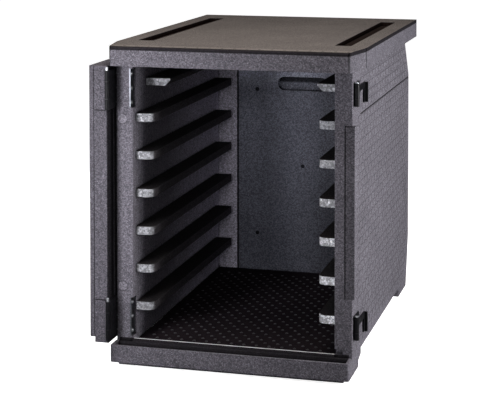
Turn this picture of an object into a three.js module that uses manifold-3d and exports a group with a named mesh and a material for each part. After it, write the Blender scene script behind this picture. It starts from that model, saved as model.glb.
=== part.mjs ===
// Front-loading insulated food carrier in expanded foam, for trays 600 by 400 mm. Its door is hinged on
// the left and folds back through 270 degrees to lie along the carrier's left side.
// Millimetres. +X is right, +Y is back, +Z is up. The origin is the middle of the base, on the floor.
import * as THREE from "three";
import { ConvexGeometry } from "three/addons/geometries/ConvexGeometry.js";
import { mergeVertices } from "three/addons/utils/BufferGeometryUtils.js";
import Module from "manifold-3d";

// Whole carrier
const WIDTH = 554;
const DEPTH = 772;
const HEIGHT = 687;
const FRONT = -DEPTH / 2;
const REAR = DEPTH / 2;
const GAP = 0.3; // between two pieces that touch
const BREAKTHROUGH = 2; // how far a cutter runs past the face it opens

// Top slab
const SLAB_THICKNESS = 43;
const SLAB_BOTTOM = HEIGHT - SLAB_THICKNESS;
const FRONT_WIDTH = 521; // the slab narrows to this at its front edge
const FRONT_TAPER = 95; // length over which it narrows
const SLAB_CORNER = 6;
const SLAB_TOP_ROUND = 8;
const TOP_SLOT = { inner: 203, outer: 239, front: FRONT + 124, rear: FRONT + 670, depth: 9 };
const SIDE_GROOVE = { width: 3, depth: 2 };

// Body: two side walls and a back wall, open at the front
const BODY_HALF = 260;
const WALL_INNER = 222; // half the clear width between the side walls
const JAMB = FRONT + 40; // front faces of the side walls, where the door closes
const BACK_INNER = FRONT + 686;
const BODY_REAR = FRONT + 752;
const JAMB_CORNER = 4;
const REAR_CORNER = 4;
const BACK_GROOVE = { inner: 168, outer: 173, depth: 5 }; // upright grooves beside the back panel
const BACK_POCKET = { half: 65, bottom: 506, top: 541, depth: 15 }; // finger pocket in the back panel
const BACK_MARK = { radius: 5, depth: 1.2 };
const BACK_MARK_PLACES = [[-119, 507], [119, 507], [0, 314], [-119, 138], [119, 138]];
const GRIP_START = FRONT + 120; // the finger grips under the slab start here
const GRIP_CREASE = 545; // and the walls lean in above this height
const GRIP_LEAN = 12;
const CREASE_GROOVE = { width: 1.6, depth: 1 };
const HOLD = { inner: 245, outer: 264, depth: 20, bottom: 168, top: 528, groove: 2 };

// Underside of the side walls, as heights above the floor and distances from the front edge
const FOOT_BOTTOM = 8;
const FOOT_STEP = { start: 104, rise: 22, end: 130, edge: 28 };
const SKIRT_BOTTOM = 41;
const REAR_FOOT = { start: 606, bottom: 20 };
const REAR_UNDERCUT = { height: 150, depth: 14, inset: 9, length: 24 };

// Base: front ledge, sill, floor and the plinth it stands on
const LEDGE_TOP = 45;
const LEDGE_CORNER = 5;
const SILL_FRONT = FRONT + 33;
const SILL_REAR = FRONT + 46;
const SILL_TOP = 50;
const FLOOR_TOP = 42;
const LEDGE_CHANNEL = { front: FRONT + 6, rear: FRONT + 31, depth: 10, end: 8 };
const PLINTH_INSET = 14;
const SILL_NOTCH = { width: 17, depth: 14, height: 12 };

// Tray rails
const RAIL_LEVELS = 6;
const RAIL_FIRST_TOP = 126;
const RAIL_PITCH = 82;
const RAIL_THICKNESS = 18;
const RAIL_INNER = 181;
const RAIL_NOSE = 18; // depth and width of the rounding at a rail's front
const RAIL_FRONT = FRONT + 58;
const RAIL_REAR = FRONT + 662;
const TOP_RAIL = { front: FRONT + 125, inner: 165, bottom: 588, thickness: 16.5, chamfer: 12 };

// Door, measured from its hinge axis while it is shut: x towards the latches, y into the carrier
const HINGE_AXIS = { x: -264, y: FRONT - 3.8 };
const OPEN_ANGLE = 270;
const DOOR = { hingeEdge: 5.5, freeEdge: 523, outer: 0.5, tongueInner: 31, inner: 43.5 };
const DOOR_BOTTOM = 48;
const DOOR_STEP = 59; // underside of the door behind its tongue
const DOOR_REBATE = 1.2; // the edges behind the tongue's depth are set back this far
const DOOR_GROOVE = { width: 2, depth: 3.5 }; // upright groove in the hinge edge, along the rebate
const DOOR_TOP = 643.5;
const DOOR_CORNER = 4;
const DOOR_FIELD = { start: 70, end: 456, bottom: 150, top: 540, depth: 1.5, corner: 14 };
const DOOR_PULL = { outer: 13, inner: 29, depth: 9, bottom: 190, top: 500 };
const PLUG = { start: 48, end: 480, depth: 12, bottom: 61, top: 637 };
const PLUG_CORNER = 14;

// Hinges
const HINGE_HEIGHTS = { top: 592.5, bottom: 97 };
const HINGE_HALF = 42;
const BARREL_RADIUS = 4.5;
const HINGE_PIN_RADIUS = 2;
const HINGE_PIN_RISE = 8; // how far a hinge pin stands above its top knuckle
const PIN_CLEARANCE = 0.3;
const KNUCKLE_SPLIT = 18.5; // the door's knuckle is the middle part, this far up and down
const LEAF_START = 6; // the leaves' full height starts this far from the axis
const BODY_LEAF = { inner: 3.7, outer: 1.2, end: 99 };
const DOOR_LEAF = { inner: 3.5, outer: 0.5, end: 50 };
const DOOR_SLIT = { width: 2.4, depth: 4 }; // slit in the door's hinge edge at a hinge's end
const BACKING = { thickness: 3, depth: 20, recess: 4.5 };
const BACKING_FACE = -WALL_INNER - BACKING.recess;
const BOLT_SPACING = 31;
const BOLT = { distance: 49, radius: 2.4, headRadius: 4.5, headHeight: 3.2 };
const LEAF_SCREW = { distance: 36, radius: 1.9, headRadius: 3.8, length: 22 };

// Latches, measured from the pivot of each lever
const LATCH_AXIS = { x: 266.5, y: FRONT + 50 };
const LATCH_HEIGHTS = { top: 594, bottom: 105 };
const LATCH_SWING = 180;
const LATCH_BARREL = 5.5;
const LATCH_PIN_RADIUS = 2.2;
const LATCH_PIN_RISE = 3;
const LATCH_HALF = 24;
const BRACKET = { inner: -6.2, outer: -3.2, start: 7, end: 45, lowKnuckle: -9, highKnuckle: 20.4 };
const BRACKET_SCREW = { distance: 35, offset: 15, radius: 1.9, headRadius: 3.6, headHeight: 2, length: 18 };
const LEVER = { bottom: -22, top: 20, armBottom: 8, knuckleBottom: -8.6, inner: -6, outer: -2 };
const LEVER_REACH = 62;
const LEVER_BAR = 11; // width of the upright bar at the lever's end
const LEVER_HOOK = { depth: 4.5, inner: -12 };
const CATCH = { start: 488, end: 522.5, outer: 0.5, inner: 3.3, half: 20, ribWidth: 6.5, ribOuter: -2.8 };
const CATCH_SCREW = { distance: 500, offset: 12, radius: 1.9, headRadius: 3.6, length: 20 };

const FINE = 20; // sides of a barrel or a pin
const COARSE = 12; // sides of a screw

const foam = new THREE.MeshStandardMaterial({ color: 0x4b474e, roughness: 0.85, metalness: 0 });
const foamTop = new THREE.MeshStandardMaterial({ color: 0x55504f, roughness: 0.85, metalness: 0 });
const foamRail = new THREE.MeshStandardMaterial({ color: 0x5a5a60, roughness: 0.8, metalness: 0 });
const nylon = new THREE.MeshStandardMaterial({ color: 0x0c0c0e, roughness: 0.35, metalness: 0 });
const steel = new THREE.MeshStandardMaterial({ color: 0xb8bcc2, roughness: 0.3, metalness: 0.9 });

const wasm = await Module();
wasm.setup();

// A closed geometry as a solid that can be joined and cut.
function toSolid(geometry) {
  const bare = geometry.clone();
  bare.deleteAttribute("normal");
  bare.deleteAttribute("uv");
  const merged = mergeVertices(bare, 1e-4);
  const surface = new wasm.Mesh({
    numProp: 3,
    vertProperties: merged.attributes.position.array,
    triVerts: new Uint32Array(merged.index.array),
  });
  return new wasm.Manifold(surface);
}

// A solid as a geometry with flat-shaded faces.
function toGeometry(solid) {
  const surface = solid.getMesh();
  const shared = new THREE.BufferGeometry();
  shared.setAttribute("position", new THREE.BufferAttribute(surface.vertProperties, 3));
  shared.setIndex(new THREE.BufferAttribute(surface.triVerts, 1));
  const flat = shared.toNonIndexed();
  flat.computeVertexNormals();
  return flat;
}

function cut(start, ...tools) {
  return toGeometry(tools.reduce((solid, tool) => solid.subtract(toSolid(tool)), toSolid(start)));
}

function join(first, ...others) {
  return toGeometry(others.reduce((solid, other) => solid.add(toSolid(other)), toSolid(first)));
}

function common(first, second) {
  return toGeometry(toSolid(first).intersect(toSolid(second)));
}

// A box between two limits along each axis.
function block([x0, x1], [y0, y1], [z0, z1]) {
  const box = new THREE.BoxGeometry(x1 - x0, y1 - y0, z1 - z0);
  return box.translate((x0 + x1) / 2, (y0 + y1) / 2, (z0 + z1) / 2);
}

function outline(points) {
  return new THREE.Shape(points.map(([u, v]) => new THREE.Vector2(u, v)));
}

// A polygon whose corners are rounded, each by its own radius: [u, v, radius].
function roundedOutline(corners) {
  const shape = new THREE.Shape();
  corners.forEach(([u, v, radius], i) => {
    const corner = new THREE.Vector2(u, v);
    const before = corners.at(i - 1);
    const after = corners[(i + 1) % corners.length];
    const towards = (other) => new THREE.Vector2(other[0] - u, other[1] - v).setLength(radius);
    const start = corner.clone().add(towards(before));
    const end = corner.clone().add(towards(after));
    if (i === 0) shape.moveTo(start.x, start.y);
    else shape.lineTo(start.x, start.y);
    if (radius > 0) shape.quadraticCurveTo(u, v, end.x, end.y);
  });
  shape.closePath();
  return shape;
}

// An outline in plan, drawn as (x, y) and standing between two heights.
function upright(shape, [z0, z1], curveSegments = 5) {
  const solid = new THREE.ExtrudeGeometry(shape, { depth: z1 - z0, bevelEnabled: false, curveSegments });
  return solid.translate(0, 0, z0);
}

// An outline seen from the right, drawn as (y, z) and running between two values of x.
function acrossX(shape, [x0, x1], curveSegments = 5) {
  const solid = new THREE.ExtrudeGeometry(shape, { depth: x1 - x0, bevelEnabled: false, curveSegments });
  const turn = new THREE.Matrix4().set(0, 0, 1, x0, 1, 0, 0, 0, 0, 1, 0, 0, 0, 0, 0, 1);
  return solid.applyMatrix4(turn);
}

// An outline seen from the front, drawn as (x, z) and running between two values of y.
function alongY(shape, [y0, y1]) {
  const solid = new THREE.ExtrudeGeometry(shape, { depth: y1 - y0, bevelEnabled: false });
  return solid.rotateX(Math.PI / 2).translate(0, y1, 0);
}

// A round bar on the z axis between two heights.
function barZ(radius, [z0, z1], sides = FINE) {
  const bar = new THREE.CylinderGeometry(radius, radius, z1 - z0, sides);
  return bar.rotateX(Math.PI / 2).translate(0, 0, (z0 + z1) / 2);
}

// A screw that points along +Z from the underside of its head. A domed head stands behind the origin.
function domedScrew({ radius, headRadius, headHeight, length }) {
  const profile = new THREE.Path();
  profile.moveTo(0, -headHeight);
  profile.absellipse(0, 0, headRadius, headHeight, -Math.PI / 2, 0, false, 0);
  profile.lineTo(radius, 0);
  profile.lineTo(radius, length);
  profile.lineTo(0, length);
  return new THREE.LatheGeometry(profile.getPoints(2), COARSE).rotateX(Math.PI / 2);
}

// A countersunk screw: its flat head starts at the origin and narrows to the shank.
function flatScrew({ radius, headRadius, length }) {
  const slope = headRadius - radius;
  const points = [[0, 0], [headRadius, 0], [radius, slope], [radius, length], [0, length]];
  const profile = points.map(([r, h]) => new THREE.Vector2(r, h));
  return new THREE.LatheGeometry(profile, COARSE).rotateX(Math.PI / 2);
}

// The same screw a little larger all round, to cut the hole it sits in.
function clearanceFor(screw) {
  return { ...screw, radius: screw.radius + GAP, headRadius: screw.headRadius + GAP, length: screw.length + GAP };
}

// The three directions in which screws are driven.
const intoLeft = (geometry) => geometry.rotateY(-Math.PI / 2);
const intoBack = (geometry) => geometry.rotateX(-Math.PI / 2);

const carrier = new THREE.Group();

function addMesh(parent, name, geometry, material, position = [0, 0, 0]) {
  const mesh = new THREE.Mesh(geometry, material);
  mesh.name = name;
  mesh.position.set(...position);
  parent.add(mesh);
}

// Top slab: narrower at the front, round on its top front edge, with two long slots along its top.
function topSlab() {
  const half = WIDTH / 2;
  const frontHalf = FRONT_WIDTH / 2;
  const taperEnd = FRONT + FRONT_TAPER;
  const plan = roundedOutline([
    [-frontHalf, FRONT, SLAB_CORNER],
    [frontHalf, FRONT, SLAB_CORNER],
    [half, taperEnd, 0],
    [half, REAR, SLAB_CORNER],
    [-half, REAR, SLAB_CORNER],
    [-half, taperEnd, 0],
  ]);
  const side = roundedOutline([
    [FRONT, SLAB_BOTTOM, 1],
    [REAR, SLAB_BOTTOM, 1],
    [REAR, HEIGHT, SLAB_TOP_ROUND],
    [FRONT, HEIGHT, SLAB_TOP_ROUND],
  ]);
  const slab = common(upright(plan, [SLAB_BOTTOM, HEIGHT]), acrossX(side, [-half, half]));
  const cutters = [-1, 1].flatMap((s) => {
    const { inner, outer, front, rear, depth } = TOP_SLOT;
    const slot = roundedOutline([
      [s * inner, front, 4],
      [s * outer, front, 4],
      [s * outer, rear, 4],
      [s * inner, rear, 4],
    ]);
    const grooveX = s * (half - SIDE_GROOVE.depth + WALL_INNER / 2);
    const groove = block(
      [grooveX - WALL_INNER / 2, grooveX + WALL_INNER / 2],
      [taperEnd, taperEnd + SIDE_GROOVE.width],
      [SLAB_BOTTOM - BREAKTHROUGH, HEIGHT + BREAKTHROUGH],
    );
    return [upright(slot, [HEIGHT - depth, HEIGHT + BREAKTHROUGH], 3), groove];
  });
  return cut(slab, ...cutters);
}

// Side view of the walls: stepped front foot, raised skirt, lower rear foot and an undercut back.
function wallOutline() {
  const at = (distance, height) => [FRONT + distance, height];
  return outline([
    [JAMB, FOOT_BOTTOM],
    at(FOOT_STEP.start, FOOT_BOTTOM),
    at(FOOT_STEP.start, FOOT_STEP.rise),
    at(FOOT_STEP.end, FOOT_STEP.edge),
    at(FOOT_STEP.end, SKIRT_BOTTOM),
    at(REAR_FOOT.start, SKIRT_BOTTOM),
    at(REAR_FOOT.start, REAR_FOOT.bottom),
    [BODY_REAR - REAR_UNDERCUT.depth, REAR_FOOT.bottom],
    [BODY_REAR, REAR_UNDERCUT.height],
    [BODY_REAR, SLAB_BOTTOM - GAP],
    [JAMB, SLAB_BOTTOM - GAP],
  ]);
}

// Wedge that leans a side wall in above the crease, to make room for fingers under the slab.
function gripWedge(side) {
  const past = side * (BODY_HALF + WALL_INNER);
  const lean = GRIP_LEAN * (1 + BREAKTHROUGH / (SLAB_BOTTOM - GRIP_CREASE));
  const wedge = outline([
    [side * BODY_HALF, GRIP_CREASE],
    [past, GRIP_CREASE],
    [past, SLAB_BOTTOM + BREAKTHROUGH],
    [side * (BODY_HALF - lean), SLAB_BOTTOM + BREAKTHROUGH],
  ]);
  return alongY(wedge, [GRIP_START, REAR]);
}

// Narrow groove that draws the crease along the outside of a side wall.
function creaseGroove(side) {
  const { width, depth } = CREASE_GROOVE;
  const middle = side * (BODY_HALF + WALL_INNER - depth);
  return block(
    [middle - WALL_INNER, middle + WALL_INNER],
    [GRIP_START, REAR],
    [GRIP_CREASE - width, GRIP_CREASE],
  );
}

// Wedge that takes the corner off the bottom of a rear upright edge, on a slant.
function rearCornerCut(side) {
  const { height, depth, inset, length } = REAR_UNDERCUT;
  const foot = REAR_FOOT.bottom;
  const top = new THREE.Vector3(side * BODY_HALF, BODY_REAR, height);
  const ahead = new THREE.Vector3(side * BODY_HALF, BODY_REAR - depth - length, foot);
  const beside = new THREE.Vector3(side * (BODY_HALF - inset), BODY_REAR - depth, foot);
  const middle = top.clone().add(ahead).add(beside).divideScalar(3);
  const spread = (point) => point.clone().sub(middle).multiplyScalar(2).add(middle);
  const apex = middle.clone().add(new THREE.Vector3(side * height, height, 0));
  return new ConvexGeometry([spread(top), spread(ahead), spread(beside), apex]);
}

// Finger pocket, marks and upright grooves in the panel at the back of the room.
function backCutters() {
  const { half, bottom, top, depth } = BACK_POCKET;
  const round = (top - bottom) / 2;
  const stadium = new THREE.Shape();
  stadium.absarc(half - round, bottom + round, round, -Math.PI / 2, Math.PI / 2);
  stadium.absarc(round - half, bottom + round, round, Math.PI / 2, (3 * Math.PI) / 2);
  const pocket = alongY(stadium, [BACK_INNER - BREAKTHROUGH, BACK_INNER + depth]);
  const marks = BACK_MARK_PLACES.map(([x, z]) => {
    const mark = barZ(BACK_MARK.radius, [-BREAKTHROUGH, BACK_MARK.depth], COARSE).rotateX(-Math.PI / 2);
    return mark.translate(x, BACK_INNER, z);
  });
  const grooves = [-1, 1].map((side) => {
    const edges = [side * BACK_GROOVE.inner, side * BACK_GROOVE.outer].sort((a, b) => a - b);
    return block(edges, [BACK_INNER - BREAKTHROUGH, BACK_INNER + BACK_GROOVE.depth], [0, HEIGHT]);
  });
  return [pocket, ...marks, ...grooves];
}

// Grooves that part the hold strip from the rest of the right jamb, beside and above it.
function holdGrooves() {
  const { inner, outer, bottom, top, groove } = HOLD;
  const depths = [JAMB - BREAKTHROUGH, JAMB + groove];
  return [
    block([inner - groove, inner], depths, [bottom, top]),
    block([inner - groove, outer + BREAKTHROUGH], depths, [top, top + groove]),
  ];
}

// Pocket for a backing plate and holes for the bolts of one hinge, in the left wall.
function hingeCutters(height) {
  const plate = block(
    [BACKING_FACE - BACKING.thickness - GAP, 0],
    [JAMB - BREAKTHROUGH, JAMB + BACKING.depth + GAP],
    [height - HINGE_HALF - GAP, height + HINGE_HALF + GAP],
  );
  const bolts = boltOffsets().map((offset) => {
    const hole = barZ(BOLT.radius + GAP, [0, BODY_HALF], COARSE).rotateY(-Math.PI / 2);
    return hole.translate(-WALL_INNER + BREAKTHROUGH, HINGE_AXIS.y + BOLT.distance, height + offset);
  });
  return [plate, ...bolts];
}

// Screw holes of one latch bracket, in the right wall.
function latchCutters(height) {
  return bracketScrewPlaces().map(([, y, z]) => {
    const depth = BRACKET_SCREW.length + GAP;
    const hole = barZ(BRACKET_SCREW.radius + GAP, [-depth, BREAKTHROUGH], COARSE).rotateY(Math.PI / 2);
    return hole.translate(LATCH_AXIS.x + BRACKET.outer, LATCH_AXIS.y + y, height + z);
  });
}

// Body shell: the two side walls and the back wall in one moulding.
function bodyShell() {
  const plan = roundedOutline([
    [-BODY_HALF, JAMB, JAMB_CORNER],
    [BODY_HALF, JAMB, 3],
    [BODY_HALF, BODY_REAR, REAR_CORNER],
    [-BODY_HALF, BODY_REAR, REAR_CORNER],
  ]);
  const walls = common(upright(plan, [0, HEIGHT]), acrossX(wallOutline(), [-BODY_HALF, BODY_HALF]));
  const room = block([-WALL_INNER, WALL_INNER], [FRONT, BACK_INNER], [0, HEIGHT]);
  const hold = block([HOLD.inner, HOLD.outer], [JAMB, JAMB + HOLD.depth], [HOLD.bottom, HOLD.top]);
  const notch = block(
    [0, WALL_INNER + SILL_NOTCH.width],
    [FRONT, JAMB + SILL_NOTCH.depth],
    [SILL_TOP, SILL_TOP + SILL_NOTCH.height],
  );
  const cutters = [
    room,
    notch,
    ...[-1, 1].flatMap((side) => [gripWedge(side), creaseGroove(side), rearCornerCut(side)]),
    ...backCutters(),
    ...holdGrooves(),
    ...Object.values(HINGE_HEIGHTS).flatMap(hingeCutters),
    ...Object.values(LATCH_HEIGHTS).flatMap(latchCutters),
  ];
  return cut(join(walls, hold), ...cutters);
}

// Base: front ledge with a channel for the door's tongue, sill, floor block and the plinth under them.
function base() {
  const frontHalf = FRONT_WIDTH / 2;
  const ledgePlan = roundedOutline([
    [-frontHalf, FRONT, LEDGE_CORNER],
    [frontHalf, FRONT, LEDGE_CORNER],
    [frontHalf, JAMB - GAP, 0],
    [-frontHalf, JAMB - GAP, 0],
  ]);
  const floorHalf = WALL_INNER - GAP;
  const floorRear = BACK_INNER - GAP;
  const ledge = upright(ledgePlan, [FOOT_BOTTOM, LEDGE_TOP]);
  const floor = block([-floorHalf, floorHalf], [SILL_FRONT, floorRear], [FOOT_BOTTOM, FLOOR_TOP]);
  const sill = block([-floorHalf, floorHalf], [SILL_FRONT, SILL_REAR], [FOOT_BOTTOM, SILL_TOP]);
  const plinthHalf = floorHalf - PLINTH_INSET;
  const plinth = block([-plinthHalf, plinthHalf], [FRONT + PLINTH_INSET, floorRear], [0, FOOT_BOTTOM + 1]);
  const frontPlinthHalf = frontHalf - PLINTH_INSET;
  const frontPlinth = block(
    [-frontPlinthHalf, frontPlinthHalf],
    [FRONT + PLINTH_INSET, JAMB - GAP],
    [0, FOOT_BOTTOM + 1],
  );
  const { front, rear, depth, end } = LEDGE_CHANNEL;
  const channel = block([end - frontHalf, frontHalf - end], [front, rear], [LEDGE_TOP - depth, HEIGHT]);
  return cut(join(ledge, floor, sill, plinth, frontPlinth), channel);
}

// Plan of a left-hand rail: it reaches out from the wall, and its inner front corner is rounded.
function railOutline() {
  const wall = -WALL_INNER + GAP;
  const shape = new THREE.Shape();
  shape.moveTo(wall, RAIL_FRONT);
  shape.lineTo(-RAIL_INNER - RAIL_NOSE, RAIL_FRONT);
  shape.quadraticCurveTo(-RAIL_INNER - 2, RAIL_FRONT, -RAIL_INNER, RAIL_FRONT + RAIL_NOSE);
  shape.lineTo(-RAIL_INNER, RAIL_REAR);
  shape.lineTo(wall, RAIL_REAR);
  shape.closePath();
  return shape;
}

// A rail with its top at height zero. A right-hand rail is the left-hand one seen in a mirror.
function rail(side) {
  const left = toSolid(upright(railOutline(), [-RAIL_THICKNESS, 0]));
  return toGeometry(side < 0 ? left : left.mirror([1, 0, 0]));
}

// Top rail: shorter and wider than the others, with its lower inner edge cut away at 45 degrees.
function topRail(side) {
  const { inner, front, thickness, chamfer } = TOP_RAIL;
  const profile = outline([
    [side * (WALL_INNER - GAP), 0],
    [side * (WALL_INNER - GAP), thickness],
    [side * inner, thickness],
    [side * inner, chamfer],
    [side * (inner + chamfer), 0],
  ]);
  return alongY(profile, [front, RAIL_REAR]);
}

function addRails() {
  const sides = { left: -1, right: 1 };
  for (const [side, sign] of Object.entries(sides)) {
    for (let level = 0; level < RAIL_LEVELS; level += 1) {
      const height = RAIL_FIRST_TOP + level * RAIL_PITCH;
      addMesh(carrier, `rail_${side}_${level + 1}`, rail(sign), foamRail, [0, 0, height]);
    }
    addMesh(carrier, `rail_${side}_top`, topRail(sign), foamRail, [0, 0, TOP_RAIL.bottom]);
  }
}

function boltOffsets() {
  return [BOLT_SPACING, 0, -BOLT_SPACING];
}

function leafScrewPlaces() {
  return [BOLT_SPACING, -BOLT_SPACING].map((z) => [LEAF_SCREW.distance, DOOR_LEAF.outer, z]);
}

function bracketScrewPlaces() {
  const { distance, offset } = BRACKET_SCREW;
  return [offset, -offset].map((z) => [BRACKET.outer, distance, z]);
}

function catchScrewPlaces() {
  return [CATCH_SCREW.offset, -CATCH_SCREW.offset].map((z) => [CATCH_SCREW.distance, CATCH.outer, z]);
}

// A rectangle between two limits along each axis, with rounded corners.
function roundedRectangle([u0, u1], [v0, v1], radius) {
  return roundedOutline([
    [u0, v0, radius],
    [u1, v0, radius],
    [u1, v1, radius],
    [u0, v1, radius],
  ]);
}

// Shallow pocket in the door's outer face that takes a door leaf or a catch.
function facePocket([x0, x1], inner, half, height) {
  return block([x0, x1], [-BARREL_RADIUS, inner + GAP], [height - half - GAP, height + half + GAP]);
}

// Everything that one hinge cuts from the door: its leaf's pocket, the screw holes and a slit in the edge.
function doorHingeCutters(height, slitSide) {
  const holes = leafScrewPlaces().map(([x, y, z]) =>
    intoBack(flatScrew(clearanceFor(LEAF_SCREW))).translate(x, y, height + z),
  );
  const slitTop = height + slitSide * (HINGE_HALF + GAP);
  const slit = block(
    [0, DOOR.hingeEdge + DOOR_SLIT.depth],
    [0, DOOR.tongueInner],
    [slitTop, slitTop + slitSide * DOOR_SLIT.width].sort((a, b) => a - b),
  );
  return [facePocket([0, DOOR_LEAF.end + GAP], DOOR_LEAF.inner, HINGE_HALF, height), slit, ...holes];
}

// Everything that one catch cuts from the door: its pocket and the screw holes.
function doorCatchCutters(height) {
  const holes = catchScrewPlaces().map(([x, y, z]) =>
    intoBack(flatScrew(clearanceFor(CATCH_SCREW))).translate(x, y, height + z),
  );
  const limits = [CATCH.start - GAP, DOOR.freeEdge + BREAKTHROUGH];
  return [facePocket(limits, CATCH.inner, CATCH.half, height), ...holes];
}

// Door: a slab of foam with a tongue along its bottom outer edge and a plug that enters the opening.
function doorPanel() {
  const { hingeEdge, freeEdge, outer, tongueInner, inner } = DOOR;
  const plan = roundedOutline([
    [hingeEdge, outer, 2],
    [freeEdge, outer, DOOR_CORNER],
    [freeEdge, tongueInner, 0],
    [freeEdge - DOOR_REBATE, tongueInner, 0],
    [freeEdge - DOOR_REBATE, inner, DOOR_CORNER],
    [hingeEdge + DOOR_REBATE, inner, DOOR_CORNER],
    [hingeEdge + DOOR_REBATE, tongueInner + DOOR_GROOVE.width, 0],
    [hingeEdge + DOOR_GROOVE.depth, tongueInner + DOOR_GROOVE.width, 0],
    [hingeEdge + DOOR_GROOVE.depth, tongueInner, 0],
    [hingeEdge, tongueInner, 0],
  ]);
  const plugFront = outline([
    [PLUG.start, PLUG.bottom + PLUG_CORNER],
    [PLUG.start + PLUG_CORNER, PLUG.bottom],
    [PLUG.end - PLUG_CORNER, PLUG.bottom],
    [PLUG.end, PLUG.bottom + PLUG_CORNER],
    [PLUG.end, PLUG.top - PLUG_CORNER],
    [PLUG.end - PLUG_CORNER, PLUG.top],
    [PLUG.start + PLUG_CORNER, PLUG.top],
    [PLUG.start, PLUG.top - PLUG_CORNER],
  ]);
  const panel = join(
    upright(plan, [DOOR_BOTTOM, DOOR_TOP], 3),
    alongY(plugFront, [inner - 1, inner + PLUG.depth]),
  );
  const step = block([0, freeEdge + 1], [tongueInner, inner + BREAKTHROUGH], [0, DOOR_STEP]);
  const fieldOutline = roundedRectangle(
    [DOOR_FIELD.start, DOOR_FIELD.end],
    [DOOR_FIELD.bottom, DOOR_FIELD.top],
    DOOR_FIELD.corner,
  );
  const field = alongY(fieldOutline, [-BREAKTHROUGH, outer + DOOR_FIELD.depth]);
  const pull = block(
    [freeEdge - DOOR_PULL.depth, freeEdge + BREAKTHROUGH],
    [DOOR_PULL.outer, DOOR_PULL.inner],
    [DOOR_PULL.bottom, DOOR_PULL.top],
  );
  return cut(
    panel,
    step,
    field,
    pull,
    ...doorHingeCutters(HINGE_HEIGHTS.top, -1),
    ...doorHingeCutters(HINGE_HEIGHTS.bottom, 1),
    ...Object.values(LATCH_HEIGHTS).flatMap(doorCatchCutters),
  );
}

// Body leaf of a hinge: it runs back from the axis along the body's left side.
function bodyLeaf() {
  const { inner, outer, end } = BODY_LEAF;
  const plate = block([outer, inner], [LEAF_START, end], [-HINGE_HALF, HINGE_HALF]);
  const knuckles = [-1, 1].flatMap((side) => {
    const limits = [side * (KNUCKLE_SPLIT + GAP / 2), side * HINGE_HALF].sort((a, b) => a - b);
    return [barZ(BARREL_RADIUS, limits), block([outer, inner], [0, LEAF_START + 1], limits)];
  });
  const bore = barZ(HINGE_PIN_RADIUS + PIN_CLEARANCE, [-2 * HINGE_HALF, 2 * HINGE_HALF]);
  const boltHoles = boltOffsets().map((offset) => {
    const hole = barZ(BOLT.radius + GAP, [-BODY_HALF, BODY_HALF], COARSE).rotateY(Math.PI / 2);
    return hole.translate(0, BOLT.distance, offset);
  });
  return cut(join(plate, ...knuckles), bore, ...boltHoles);
}

// Door leaf of a hinge, measured with the door shut: it lies on the door's outer face.
function doorLeaf() {
  const { inner, outer, end } = DOOR_LEAF;
  const split = KNUCKLE_SPLIT - GAP / 2;
  const plate = block([LEAF_START, end], [outer, inner], [-HINGE_HALF, HINGE_HALF]);
  const knuckle = barZ(BARREL_RADIUS, [-split, split]);
  const web = block([0, LEAF_START + 1], [outer, inner], [-split, split]);
  const bore = barZ(HINGE_PIN_RADIUS + PIN_CLEARANCE, [-HINGE_HALF, HINGE_HALF]);
  const holes = leafScrewPlaces().map((place) =>
    intoBack(flatScrew(clearanceFor(LEAF_SCREW))).translate(...place),
  );
  return cut(join(plate, knuckle, web), bore, ...holes);
}

// A plain pin whose upper end is a round head that stands above the knuckles.
function headedPin(radius, half, rise) {
  const head = 1.6 * radius;
  const profile = new THREE.Path();
  profile.moveTo(0, -half);
  profile.lineTo(radius, -half);
  profile.lineTo(radius, half + GAP);
  profile.lineTo(head, half + GAP);
  profile.lineTo(head, half + rise - 1);
  profile.lineTo(head - 1, half + rise);
  profile.lineTo(0, half + rise);
  return new THREE.LatheGeometry(profile.getPoints(1), FINE).rotateX(Math.PI / 2);
}

// Steel plate let into the inner face of the left wall, under the heads of the hinge bolts.
function backingPlate() {
  const { thickness, depth } = BACKING;
  const plate = block([-thickness, 0], [0, depth], [-HINGE_HALF, HINGE_HALF]);
  const boltLine = HINGE_AXIS.y + BOLT.distance - JAMB;
  const holes = boltOffsets().map((offset) => {
    const hole = barZ(BOLT.radius + GAP, [-BODY_HALF, BODY_HALF], COARSE).rotateY(Math.PI / 2);
    return hole.translate(0, boltLine, offset);
  });
  return cut(plate, ...holes);
}

function addHinge(place, height, door) {
  const hinge = new THREE.Group();
  hinge.position.set(HINGE_AXIS.x, HINGE_AXIS.y, height);
  carrier.add(hinge);
  addMesh(hinge, `hinge_${place}_body_leaf`, bodyLeaf(), nylon);
  addMesh(hinge, `hinge_${place}_pin`, headedPin(HINGE_PIN_RADIUS, HINGE_HALF, HINGE_PIN_RISE), steel);
  addMesh(door, `hinge_${place}_door_leaf`, doorLeaf(), nylon, [0, 0, height]);
  addMesh(carrier, `hinge_${place}_backing_plate`, backingPlate(), steel, [BACKING_FACE, JAMB, height]);
  const length = BACKING_FACE - HINGE_AXIS.x - BODY_LEAF.outer;
  boltOffsets().forEach((offset, i) => {
    const bolt = intoLeft(domedScrew({ ...BOLT, length }));
    const position = [BACKING_FACE, HINGE_AXIS.y + BOLT.distance, height + offset];
    addMesh(carrier, `hinge_${place}_bolt_${i + 1}`, bolt, steel, position);
  });
  leafScrewPlaces().forEach(([x, y, z], i) => {
    const screw = intoBack(flatScrew(LEAF_SCREW));
    addMesh(door, `hinge_${place}_leaf_screw_${i + 1}`, screw, steel, [x, y, height + z]);
  });
}

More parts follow.
